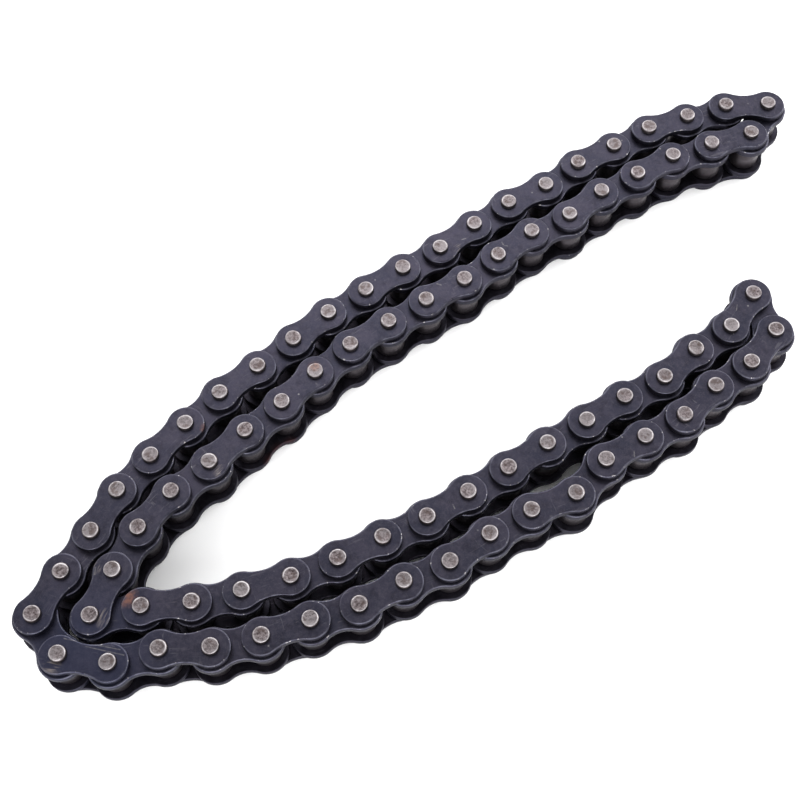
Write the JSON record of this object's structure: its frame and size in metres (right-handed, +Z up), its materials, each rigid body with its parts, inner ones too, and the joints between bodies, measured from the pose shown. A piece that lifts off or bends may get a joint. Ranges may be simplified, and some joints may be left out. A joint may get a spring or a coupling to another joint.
{
  "type": "roller chain",
  "caption": "Steel roller chain of riveted outer links and bushed inner links with rollers, lying flat and folded in side-by-side strands; it drives or is driven by a sprocket.",
  "frame": {"origin": "on the surface that the lower pin ends stand on, under the centre of the box round the folded chain", "axes": "+Z up, along the pins; +X along the longer way of the folded lay; +Y across it"},
  "size_m": [0.2194, 0.1784, 0.0186],
  "materials": {
    "plate_steel": "blackened, satin, lightly worn",
    "roller_steel": "dark satin, polished by rolling",
    "pin_steel": "riveted end faces, matt, with a bright edge",
    "bush_steel": "dark, slightly oily"
  },
  "bodies": {
    "outer_link_01": {"outer_link_01": "plate_steel"},
    "inner_link_02": {"inner_link_02": "plate_steel"},
    "outer_link_03": {"outer_link_03": "plate_steel"},
    "inner_link_04": {"inner_link_04": "plate_steel"},
    "outer_link_05": {"outer_link_05": "plate_steel"},
    "inner_link_06": {"inner_link_06": "plate_steel"},
    "outer_link_07": {"outer_link_07": "plate_steel"},
    "inner_link_08": {"inner_link_08": "plate_steel"},
    "outer_link_09": {"outer_link_09": "plate_steel"},
    "inner_link_10": {"inner_link_10": "plate_steel"},
    "outer_link_11": {"outer_link_11": "plate_steel"},
    "inner_link_12": {"inner_link_12": "plate_steel"},
    "outer_link_13": {"outer_link_13": "plate_steel"},
    "inner_link_14": {"inner_link_14": "plate_steel"},
    "outer_link_15": {"outer_link_15": "plate_steel"},
    "inner_link_16": {"inner_link_16": "plate_steel"},
    "outer_link_17": {"outer_link_17": "plate_steel"},
    "inner_link_18": {"inner_link_18": "plate_steel"},
    "outer_link_19": {"outer_link_19": "plate_steel"},
    "inner_link_20": {"inner_link_20": "plate_steel"},
    "outer_link_21": {"outer_link_21": "plate_steel"},
    "inner_link_22": {"inner_link_22": "plate_steel"},
    "links_23_to_24": {"links_23_to_24": "plate_steel"},
    "links_25_to_26": {"links_25_to_26": "plate_steel"},
    "links_27_to_28": {"links_27_to_28": "plate_steel"},
    "links_29_to_30": {"links_29_to_30": "plate_steel"},
    "links_31_to_32": {"links_31_to_32": "plate_steel"},
    "links_33_to_34": {"links_33_to_34": "plate_steel"},
    "links_35_to_36": {"links_35_to_36": "plate_steel"},
    "links_37_to_38": {"links_37_to_38": "plate_steel"},
    "links_39_to_41": {"links_39_to_41": "plate_steel"},
    "inner_link_42": {"inner_link_42": "plate_steel"},
    "links_43_to_45": {"links_43_to_45": "plate_steel"},
    "links_46_to_47": {"links_46_to_47": "plate_steel"},
    "links_48_to_49": {"links_48_to_49": "plate_steel"},
    "links_50_to_51": {"links_50_to_51": "plate_steel"},
    "links_52_to_53": {"links_52_to_53": "plate_steel"},
    "links_54_to_55": {"links_54_to_55": "plate_steel"},
    "links_56_to_57": {"links_56_to_57": "plate_steel"},
    "inner_link_58": {"inner_link_58": "plate_steel"},
    "outer_link_59": {"outer_link_59": "plate_steel"},
    "inner_link_60": {"inner_link_60": "plate_steel"},
    "outer_link_61": {"outer_link_61": "plate_steel"},
    "inner_link_62": {"inner_link_62": "plate_steel"},
    "outer_link_63": {"outer_link_63": "plate_steel"},
    "inner_link_64": {"inner_link_64": "plate_steel"},
    "outer_link_65": {"outer_link_65": "plate_steel"},
    "inner_link_66": {"inner_link_66": "plate_steel"},
    "outer_link_67": {"outer_link_67": "plate_steel"},
    "inner_link_68": {"inner_link_68": "plate_steel"},
    "outer_link_69": {"outer_link_69": "plate_steel"},
    "inner_link_70": {"inner_link_70": "plate_steel"},
    "outer_link_71": {"outer_link_71": "plate_steel"},
    "inner_link_72": {"inner_link_72": "plate_steel"},
    "outer_link_73": {"outer_link_73": "plate_steel"},
    "inner_link_74": {"inner_link_74": "plate_steel"},
    "outer_link_75": {"outer_link_75": "plate_steel"},
    "inner_link_76": {"inner_link_76": "plate_steel"},
    "roller_76_a": {"roller_76_a": "roller_steel"},
    "roller_76_b": {"roller_76_b": "roller_steel"}
  },
  "joints": [
    {"name": "pivot_42", "type": "hinge", "parent": "inner_link_42", "child": "links_39_to_41", "pos_m": [-0.08935, -0.0711, 0.0093], "axis": [0, 0, 1], "range_deg": [-1.5, 0]},
    {"name": "pivot_39", "type": "hinge", "parent": "links_39_to_41", "child": "links_37_to_38", "pos_m": [-0.07083, -0.03814, 0.0093], "axis": [0, 0, 1], "range_deg": [-2, 0]},
    {"name": "pivot_37", "type": "hinge", "parent": "links_37_to_38", "child": "links_35_to_36", "pos_m": [-0.05197, -0.02116, 0.0093], "axis": [0, 0, 1], "range_deg": [-2, 0]},
    {"name": "pivot_35", "type": "hinge", "parent": "links_35_to_36", "child": "links_33_to_34", "pos_m": [-0.03326, -0.00401, 0.0093], "axis": [0, 0, 1], "range_deg": [-2, 0]},
    {"name": "pivot_33", "type": "hinge", "parent": "links_33_to_34", "child": "links_31_to_32", "pos_m": [-0.01288, 0.01107, 0.0093], "axis": [0, 0, 1], "range_deg": [-2, 0]},
    {"name": "pivot_31", "type": "hinge", "parent": "links_31_to_32", "child": "links_29_to_30", "pos_m": [0.00889, 0.02415, 0.0093], "axis": [0, 0, 1], "range_deg": [-2.5, 0]},
    {"name": "pivot_29", "type": "hinge", "parent": "links_29_to_30", "child": "links_27_to_28", "pos_m": [0.02904, 0.03961, 0.0093], "axis": [0, 0, 1], "range_deg": [-3, 0]},
    {"name": "pivot_27", "type": "hinge", "parent": "links_27_to_28", "child": "links_25_to_26", "pos_m": [0.05046, 0.053, 0.0093], "axis": [0, 0, 1], "range_deg": [-3, 0]},
    {"name": "pivot_25", "type": "hinge", "parent": "links_25_to_26", "child": "links_23_to_24", "pos_m": [0.07278, 0.06511, 0.0093], "axis": [0, 0, 1], "range_deg": [-4, 0]},
    {"name": "pivot_23", "type": "hinge", "parent": "links_23_to_24", "child": "inner_link_22", "pos_m": [0.09707, 0.07254, 0.0093], "axis": [0, 0, 1], "range_deg": [-30, 0]},
    {"name": "pivot_22", "type": "hinge", "parent": "inner_link_22", "child": "outer_link_21", "pos_m": [0.1038, 0.08331, 0.0093], "axis": [0, 0, 1], "range_deg": [-60, 0]},
    {"name": "pivot_21", "type": "hinge", "parent": "outer_link_21", "child": "inner_link_20", "pos_m": [0.0911, 0.08331, 0.0093], "axis": [0, 0, 1], "range_deg": [-30, 0]},
    {"name": "pivot_20", "type": "hinge", "parent": "inner_link_20", "child": "outer_link_19", "pos_m": [0.07895, 0.0796, 0.0093], "axis": [0, 0, 1], "range_deg": [-15, 0]},
    {"name": "pivot_19", "type": "hinge", "parent": "outer_link_19", "child": "inner_link_18", "pos_m": [0.06687, 0.07567, 0.0093], "axis": [0, 0, 1], "range_deg": [-15, 0]},
    {"name": "pivot_18", "type": "hinge", "parent": "inner_link_18", "child": "outer_link_17", "pos_m": [0.05577, 0.06952, 0.0093], "axis": [0, 0, 1], "range_deg": [-15, 0]},
    {"name": "pivot_17", "type": "hinge", "parent": "outer_link_17", "child": "inner_link_16", "pos_m": [0.04455, 0.06355, 0.0093], "axis": [0, 0, 1], "range_deg": [-15, 0]},
    {"name": "pivot_16", "type": "hinge", "parent": "inner_link_16", "child": "outer_link_15", "pos_m": [0.03441, 0.05591, 0.0093], "axis": [0, 0, 1], "range_deg": [-15, 0]},
    {"name": "pivot_15", "type": "hinge", "parent": "outer_link_15", "child": "inner_link_14", "pos_m": [0.02309, 0.05014, 0.0093], "axis": [0, 0, 1], "range_deg": [-15, 0]},
    {"name": "pivot_14", "type": "hinge", "parent": "inner_link_14", "child": "outer_link_13", "pos_m": [0.01269, 0.04286, 0.0093], "axis": [0, 0, 1], "range_deg": [-15, 0]},
    {"name": "pivot_13", "type": "hinge", "parent": "outer_link_13", "child": "inner_link_12", "pos_m": [0.00255, 0.03522, 0.0093], "axis": [0, 0, 1], "range_deg": [-15, 0]},
    {"name": "pivot_12", "type": "hinge", "parent": "inner_link_12", "child": "outer_link_11", "pos_m": [-0.00834, 0.02868, 0.0093], "axis": [0, 0, 1], "range_deg": [-15, 0]},
    {"name": "pivot_11", "type": "hinge", "parent": "outer_link_11", "child": "inner_link_10", "pos_m": [-0.01899, 0.02176, 0.0093], "axis": [0, 0, 1], "range_deg": [-15, 0]},
    {"name": "pivot_10", "type": "hinge", "parent": "inner_link_10", "child": "outer_link_09", "pos_m": [-0.02952, 0.01466, 0.0093], "axis": [0, 0, 1], "range_deg": [-15, 0]},
    {"name": "pivot_09", "type": "hinge", "parent": "outer_link_09", "child": "inner_link_08", "pos_m": [-0.03925, 0.00649, 0.0093], "axis": [0, 0, 1], "range_deg": [-15, 0]},
    {"name": "pivot_08", "type": "hinge", "parent": "inner_link_08", "child": "outer_link_07", "pos_m": [-0.04897, -0.00167, 0.0093], "axis": [0, 0, 1], "range_deg": [-15, 0]},
    {"name": "pivot_07", "type": "hinge", "parent": "outer_link_07", "child": "inner_link_06", "pos_m": [-0.05898, -0.00949, 0.0093], "axis": [0, 0, 1], "range_deg": [-15, 0]},
    {"name": "pivot_06", "type": "hinge", "parent": "inner_link_06", "child": "outer_link_05", "pos_m": [-0.06796, -0.01847, 0.0093], "axis": [0, 0, 1], "range_deg": [-15, 0]},
    {"name": "pivot_05", "type": "hinge", "parent": "outer_link_05", "child": "inner_link_04", "pos_m": [-0.07678, -0.0276, 0.0093], "axis": [0, 0, 1], "range_deg": [-15, 0]},
    {"name": "pivot_04", "type": "hinge", "parent": "inner_link_04", "child": "outer_link_03", "pos_m": [-0.08495, -0.03733, 0.0093], "axis": [0, 0, 1], "range_deg": [-15, 0]},
    {"name": "pivot_03", "type": "hinge", "parent": "outer_link_03", "child": "inner_link_02", "pos_m": [-0.09091, -0.04855, 0.0093], "axis": [0, 0, 1], "range_deg": [-15, 0]},
    {"name": "pivot_02", "type": "hinge", "parent": "inner_link_02", "child": "outer_link_01", "pos_m": [-0.09764, -0.05932, 0.0093], "axis": [0, 0, 1], "range_deg": [-15, 0]},
    {"name": "pivot_43", "type": "hinge", "parent": "inner_link_42", "child": "links_43_to_45", "pos_m": [-0.07681, -0.06912, 0.0093], "axis": [0, 0, 1], "range_deg": [0, 2]},
    {"name": "pivot_46", "type": "hinge", "parent": "links_43_to_45", "child": "links_46_to_47", "pos_m": [-0.03943, -0.06252, 0.0093], "axis": [0, 0, 1], "range_deg": [0, 2]},
    {"name": "pivot_48", "type": "hinge", "parent": "links_46_to_47", "child": "links_48_to_49", "pos_m": [-0.01599, -0.05281, 0.0093], "axis": [0, 0, 1], "range_deg": [0, 2]},
    {"name": "pivot_50", "type": "hinge", "parent": "links_48_to_49", "child": "links_50_to_51", "pos_m": [0.0065, -0.04111, 0.0093], "axis": [0, 0, 1], "range_deg": [0, 2.5]},
    {"name": "pivot_52", "type": "hinge", "parent": "links_50_to_51", "child": "links_52_to_53", "pos_m": [0.02815, -0.02784, 0.0093], "axis": [0, 0, 1], "range_deg": [0, 3]},
    {"name": "pivot_54", "type": "hinge", "parent": "links_52_to_53", "child": "links_54_to_55", "pos_m": [0.04992, -0.01476, 0.0093], "axis": [0, 0, 1], "range_deg": [0, 3]},
    {"name": "pivot_56", "type": "hinge", "parent": "links_54_to_55", "child": "links_56_to_57", "pos_m": [0.07092, -0.00086, 0.0093], "axis": [0, 0, 1], "range_deg": [0, 10]},
    {"name": "pivot_58", "type": "hinge", "parent": "links_56_to_57", "child": "inner_link_58", "pos_m": [0.08922, 0.0162, 0.0093], "axis": [0, 0, 1], "range_deg": [0, 50]},
    {"name": "pivot_59", "type": "hinge", "parent": "inner_link_58", "child": "outer_link_59", "pos_m": [0.09356, 0.00427, 0.0093], "axis": [0, 0, 1], "range_deg": [0, 50]},
    {"name": "pivot_60", "type": "hinge", "parent": "outer_link_59", "child": "inner_link_60", "pos_m": [0.0854, -0.00546, 0.0093], "axis": [0, 0, 1], "range_deg": [0, 25]},
    {"name": "pivot_61", "type": "hinge", "parent": "inner_link_60", "child": "outer_link_61", "pos_m": [0.07475, -0.01238, 0.0093], "axis": [0, 0, 1], "range_deg": [0, 15]},
    {"name": "pivot_62", "type": "hinge", "parent": "outer_link_61", "child": "inner_link_62", "pos_m": [0.06531, -0.02087, 0.0093], "axis": [0, 0, 1], "range_deg": [0, 15]},
    {"name": "pivot_63", "type": "hinge", "parent": "inner_link_62", "child": "outer_link_63", "pos_m": [0.05409, -0.02684, 0.0093], "axis": [0, 0, 1], "range_deg": [0, 15]},
    {"name": "pivot_64", "type": "hinge", "parent": "outer_link_63", "child": "inner_link_64", "pos_m": [0.0431, -0.03319, 0.0093], "axis": [0, 0, 1], "range_deg": [0, 15]},
    {"name": "pivot_65", "type": "hinge", "parent": "inner_link_64", "child": "outer_link_65", "pos_m": [0.03443, -0.04248, 0.0093], "axis": [0, 0, 1], "range_deg": [0, 15]},
    {"name": "pivot_66", "type": "hinge", "parent": "outer_link_65", "child": "inner_link_66", "pos_m": [0.0225, -0.04682, 0.0093], "axis": [0, 0, 1], "range_deg": [0, 15]},
    {"name": "pivot_67", "type": "hinge", "parent": "inner_link_66", "child": "outer_link_67", "pos_m": [0.01139, -0.05298, 0.0093], "axis": [0, 0, 1], "range_deg": [0, 15]},
    {"name": "pivot_68", "type": "hinge", "parent": "outer_link_67", "child": "inner_link_68", "pos_m": [0.00086, -0.06008, 0.0093], "axis": [0, 0, 1], "range_deg": [0, 15]},
    {"name": "pivot_69", "type": "hinge", "parent": "inner_link_68", "child": "outer_link_69", "pos_m": [-0.01091, -0.06484, 0.0093], "axis": [0, 0, 1], "range_deg": [0, 15]},
    {"name": "pivot_70", "type": "hinge", "parent": "outer_link_69", "child": "inner_link_70", "pos_m": [-0.02223, -0.0706, 0.0093], "axis": [0, 0, 1], "range_deg": [0, 15]},
    {"name": "pivot_71", "type": "hinge", "parent": "inner_link_70", "child": "outer_link_71", "pos_m": [-0.03444, -0.0741, 0.0093], "axis": [0, 0, 1], "range_deg": [0, 15]},
    {"name": "pivot_72", "type": "hinge", "parent": "outer_link_71", "child": "inner_link_72", "pos_m": [-0.04658, -0.07781, 0.0093], "axis": [0, 0, 1], "range_deg": [0, 15]},
    {"name": "pivot_73", "type": "hinge", "parent": "inner_link_72", "child": "outer_link_73", "pos_m": [-0.05905, -0.08024, 0.0093], "axis": [0, 0, 1], "range_deg": [0, 15]},
    {"name": "pivot_74", "type": "hinge", "parent": "outer_link_73", "child": "inner_link_74", "pos_m": [-0.07175, -0.08024, 0.0093], "axis": [0, 0, 1], "range_deg": [0, 15]},
    {"name": "pivot_75", "type": "hinge", "parent": "inner_link_74", "child": "outer_link_75", "pos_m": [-0.08407, -0.08331, 0.0093], "axis": [0, 0, 1], "range_deg": [0, 15]},
    {"name": "pivot_76", "type": "hinge", "parent": "outer_link_75", "child": "inner_link_76", "pos_m": [-0.09653, -0.08084, 0.0093], "axis": [0, 0, 1], "range_deg": [0, 15]},
    {"name": "roller_76_a_spin", "type": "hinge", "parent": "inner_link_76", "child": "roller_76_a", "pos_m": [-0.09653, -0.08084, 0.0093], "axis": [0, 0, 1], "continuous": true},
    {"name": "roller_76_b_spin", "type": "hinge", "parent": "inner_link_76", "child": "roller_76_b", "pos_m": [-0.1038, -0.07042, 0.0093], "axis": [0, 0, 1], "continuous": true}
  ]
}
